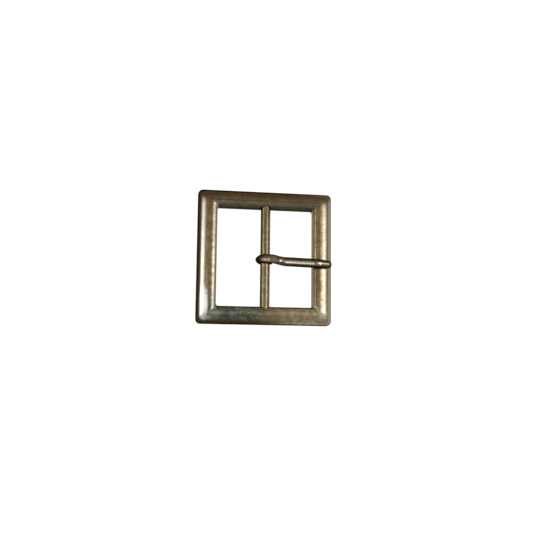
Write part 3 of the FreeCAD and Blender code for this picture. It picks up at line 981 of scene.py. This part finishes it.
def wire_finish(made, tone, rough, painted_shade):
    """Link the colour and the roughness; the coat thins out where the painted shade darkens the metal."""
    wire(made.tree, made.shader, {"Base Color": tone, "Roughness": rough,
                                  "Coat Weight": ramp(made.tree, painted_shade, *WIRE_COAT)})
    return made.material


def bar_material(finish):
    """Plain plating, with painted shade down the left side and a paler painted reflection down the right."""
    made = wire_start("Bar plating with painted shade", finish, finish.bar_bronze, BAR_SHINE)
    tree = made.tree
    # Painted shade where the bar turns away from the top, mostly down its left side
    painted_shade = mask(tree, made.found, BAR_SHADE)
    tone = blend(tree, painted_shade, made.patina["Colour"], opaque(finish.grime))
    # Painted reflection: paler plating down the bar's right side
    tone = blend(tree, mask(tree, made.found, BAR_PALE_REFLECTION), tone, opaque(finish.khaki))
    return wire_finish(made, tone, made.rough, painted_shade)


def prong_material(finish):
    """Plating: brown at the root, bright along the crest from rubbing and a painted highlight, with painted
    highlight spots on the loop and a painted glint at the shoulder, and black painted shade along the sides.
    """
    made = wire_start("Prong plating with painted highlights and shade", finish, finish.prong_bronze, PRONG_SHINE)
    tree, found = made.tree, made.found
    facing = (0.0, -math.sin(CREST_LEAN), math.cos(CREST_LEAN))
    found["Crest"] = add(tree, "ShaderNodeVectorMath", {0: made.given["Normal"], 1: facing},
                         operation="DOT_PRODUCT").outputs["Value"]
    place = add(tree, "ShaderNodeVectorMath", {0: made.given["Object"], "Scale": 1 / MM},
                operation="SCALE").outputs["Vector"]
    axes = add(tree, "ShaderNodeSeparateXYZ", {"Vector": place}).outputs
    found["Along"] = axes[0]
    for name, (axis, middle) in PRONG_MIDDLES.items():
        found[name] = away(tree, axes[axis], middle)
    turn = times(tree, plus(tree, axes[0], BEAT_START), 2 * math.pi / BEAT_LENGTH)
    found["Beat"] = maths(tree, "COSINE", turn)

    root = mask(tree, found, PRONG_ROOT)
    glint = mask(tree, found, PRONG_GLINT)
    # Painted highlights: the crest line, with rubbing, the spots on the loop and the glint at the shoulder
    rub_and_highlight = plus(tree, mask(tree, found, PRONG_CREST), mask(tree, found, PRONG_SPOTS))
    rub_and_highlight = plus(tree, rub_and_highlight, times(tree, glint, ramp(tree, found["Crest"], *GLINT_CREST)))
    rub_and_highlight = times(tree, rub_and_highlight, mask(tree, found, PRONG_RUB))
    # Painted shade: black along the sides, kept off the glint
    painted_shade = times(tree, mask(tree, found, PRONG_SHADE), maths(tree, "SUBTRACT", 1.0, glint))
    tone = blend(tree, times(tree, root, ROOT_BROWN), made.patina["Colour"], opaque(finish.brown))
    tone = blend(tree, rub_and_highlight, tone, opaque(finish.polished))
    tone = blend(tree, painted_shade, tone, opaque(finish.shade_black))
    return wire_finish(made, tone, plus(tree, made.rough, times(tree, root, ROOT_ROUGHER)), painted_shade)


# ---- Stage, in metres ----

COVE_RADIUS = 1.3
COVE_RISE = 0.5  # radius of the curve up into the backdrop
COVE_WALL = 0.5  # height of the wall over that curve

# How bright the floor is: its own colour between the paper's grains, and the glow that the
# camera and reflections see, at the buckle and far away
GRAIN_SHARES = (0.285, 0.3)
GLOW_SHARES = (0.97, 0.5)
GLOW_DISTANCES = (0.3, 1.3)

# Name, setting for the brightness, lean across and along in degrees, distance, width and height
SOFTBOXES = (
    ("left_softbox", "left_lamp", -58.5, 7.0, 0.44, 0.145, 0.2),
    ("right_softbox", "right_lamp", 34.0, 7.0, 0.46, 0.09, 0.26),
    ("front_softbox", "front_lamp", 4.0, -11.0, 0.46, 0.04, 0.04),
    ("small_window", "window", -20.0, 2.7, 0.46, 0.04, 0.035),
)
LAMP_AIM = Vector((0.0, 0.0, 0.005))

CAMERA_EYE = Vector((-42.1, -45.5, 298.4)) * MM
CAMERA_AIM = Vector((4.6, -6.56, 0.0)) * MM
CAMERA_ROLL = math.radians(0.56)
CAMERA_LENS = 49.0
CAMERA_RANGE = (0.01, 20.0)


def cove_object():
    """A round floor whose rim curves up into a backdrop."""
    bm = bmesh.new()
    centre = bmesh.ops.create_vert(bm, co=(0, 0, 0))["vert"][0]
    foot = bm.verts.new((COVE_RADIUS, 0, 0))
    bm.edges.new((centre, foot))
    bmesh.ops.spin(bm, geom=[foot], cent=(COVE_RADIUS, 0, COVE_RISE), axis=(0, -1, 0),
                   angle=math.radians(90), steps=16)
    top = max(bm.verts, key=lambda v: v.co.z)
    grown = bmesh.ops.extrude_vert_indiv(bm, verts=[top])["verts"]
    bmesh.ops.translate(bm, verts=grown, vec=(0, 0, COVE_WALL))
    bmesh.ops.spin(bm, geom=bm.verts[:] + bm.edges[:], cent=(0, 0, 0), axis=(0, 0, 1),
                   angle=math.radians(360), steps=96, use_merge=True)
    close_mesh(bm)
    made = mesh_object(bm, "studio_cove")
    made.data.shade_smooth()
    return made


def cove_material(tone):
    """Pale floor: part of its brightness is its own, and the rest takes the object's shadow.
    It falls off to a pale grey towards the backdrop."""
    material = bpy.data.materials.new("Pale paper")
    material.use_nodes = True
    tree = material.node_tree
    place = object_place(tree)
    grain = ramp(tree, noise(tree, place, 900.0, 3.0), *MOTTLE_RANGE)
    paper = blend(tree, grain, *(opaque(tone, share) for share in GRAIN_SHARES))
    distance = add(tree, "ShaderNodeVectorMath", {0: place}, operation="LENGTH").outputs["Value"]
    glow = blend(tree, ramp(tree, distance, *GLOW_DISTANCES), *(opaque(tone, share) for share in GLOW_SHARES))
    path = add(tree, "ShaderNodeLightPath").outputs
    mirrored = plus(tree, path["Is Glossy Ray"], path["Is Transmission Ray"])
    seen = maths(tree, "ADD", path["Is Camera Ray"], mirrored, True)
    wire(tree, tree.nodes["Principled BSDF"],
         {"Base Color": paper, "Roughness": 0.9, "Specular IOR Level": 0.0,
          "Emission Color": blend(tree, seen, BLACK, glow), "Emission Strength": 1.0})
    return material


def softbox(name, brightness, lean_x, lean_y, far, width, height):
    """A softbox leaning from straight overhead by two angles, facing the buckle."""
    light = bpy.data.lights.new(name, "AREA")
    light.shape = "RECTANGLE"
    light.size = width
    light.size_y = height
    light.energy = brightness * math.pi * width * height
    made = bpy.data.objects.new(name, light)
    bpy.context.scene.collection.objects.link(made)
    way = Vector((math.tan(math.radians(lean_x)), math.tan(math.radians(lean_y)), 1)).normalized()
    made.location = way * far + LAMP_AIM
    made.rotation_euler = (-way).to_track_quat("-Z", "Y").to_euler()
    made.visible_camera = False


def lay_out_camera():
    """The camera: almost straight above, a little to the left and towards the front."""
    camera = bpy.data.cameras.new("buckle_camera")
    camera.sensor_width = 36.0
    camera.lens = CAMERA_LENS
    camera.clip_start, camera.clip_end = CAMERA_RANGE
    made = bpy.data.objects.new("buckle_camera", camera)
    bpy.context.scene.collection.objects.link(made)
    forward = (CAMERA_AIM - CAMERA_EYE).normalized()
    right = forward.cross(Vector((0, 1, 0))).normalized()
    up = right.cross(forward)
    across = right * math.cos(CAMERA_ROLL) + up * math.sin(CAMERA_ROLL)
    above = up * math.cos(CAMERA_ROLL) - right * math.sin(CAMERA_ROLL)
    turned = Matrix((across, above, -forward)).transposed()
    made.matrix_world = Matrix.Translation(CAMERA_EYE) @ turned.to_4x4()
    bpy.context.scene.camera = made


# ---- Operators ----

class BUCKLE_OT_frame(bpy.types.Operator):
    """Build the antique-finished frame with its hollow back and bar seats"""
    bl_idname = "buckle.frame"
    bl_label = "Frame"

    def execute(self, context):
        size = shape_sizes(context.scene.buckle_sizes)
        body = frame_body(size)
        seat_the_bar(body, size)
        material = frame_material(context.scene.buckle_finish, size)
        finish_piece(body, material, "buckle_frame", "frame", sharp=32)
        return {"FINISHED"}


class BUCKLE_OT_bar(bpy.types.Operator):
    """Build the round bar that the prong turns on"""
    bl_idname = "buckle.bar"
    bl_label = "Bar"

    def execute(self, context):
        material = bar_material(context.scene.buckle_finish)
        finish_piece(bar_body(), material, "centre_bar", "frame", sharp=40)
        return {"FINISHED"}


class BUCKLE_OT_prong(bpy.types.Operator):
    """Build the prong: loop, neck, shoulder, shank and tip in one piece"""
    bl_idname = "buckle.prong"
    bl_label = "Prong"

    def execute(self, context):
        body = prong_body(shape_sizes(context.scene.buckle_sizes))
        material = prong_material(context.scene.buckle_finish)
        finish_piece(body, material, "prong", "prong", sharp=50)
        return {"FINISHED"}


class BUCKLE_OT_stage(bpy.types.Operator):
    """Lay out the pale floor, the softboxes and the camera"""
    bl_idname = "buckle.stage"
    bl_label = "Stage"

    def execute(self, context):
        stage = context.scene.buckle_stage
        cove = cove_object()
        cove.data.materials.append(cove_material(stage.floor))
        for name, setting, *layout in SOFTBOXES:
            softbox(name, getattr(stage, setting), *layout)
        world = bpy.data.worlds.new("studio_room")
        context.scene.world = world
        world.use_nodes = True
        wire(world.node_tree, world.node_tree.nodes["Background"],
             {"Color": opaque(stage.room_tone), "Strength": stage.room})
        lay_out_camera()
        context.scene.view_settings.view_transform = "Standard"
        return {"FINISHED"}


class BUCKLE_PT_panel(bpy.types.Panel):
    """Sizes, finishes and the pieces of the buckle"""
    bl_label = "Belt buckle"
    bl_idname = "BUCKLE_PT_panel"
    bl_space_type = "VIEW_3D"
    bl_region_type = "UI"
    bl_category = "Buckle"

    def draw(self, context):
        scene = context.scene
        for group in (scene.buckle_sizes, scene.buckle_finish, scene.buckle_stage):
            column = self.layout.column(align=True)
            for name in group.bl_rna.properties.keys():
                if name not in ("rna_type", "name"):
                    column.prop(group, name)
        for piece in PIECES:
            self.layout.operator(piece.bl_idname)


PIECES = (BUCKLE_OT_frame, BUCKLE_OT_bar, BUCKLE_OT_prong, BUCKLE_OT_stage)
CLASSES = (BuckleSizes, BuckleFinish, BuckleStage) + PIECES + (BUCKLE_PT_panel,)


def register():
    for item in CLASSES:
        bpy.utils.register_class(item)
    bpy.types.Scene.buckle_sizes = bpy.props.PointerProperty(type=BuckleSizes)
    bpy.types.Scene.buckle_finish = bpy.props.PointerProperty(type=BuckleFinish)
    bpy.types.Scene.buckle_stage = bpy.props.PointerProperty(type=BuckleStage)


def unregister():
    del bpy.types.Scene.buckle_stage
    del bpy.types.Scene.buckle_finish
    del bpy.types.Scene.buckle_sizes
    for item in reversed(CLASSES):
        bpy.utils.unregister_class(item)


def main():
    register()
    bpy.ops.buckle.frame()
    bpy.ops.buckle.bar()
    bpy.ops.buckle.prong()
    bpy.ops.buckle.stage()


if __name__ == "__main__":
    main()
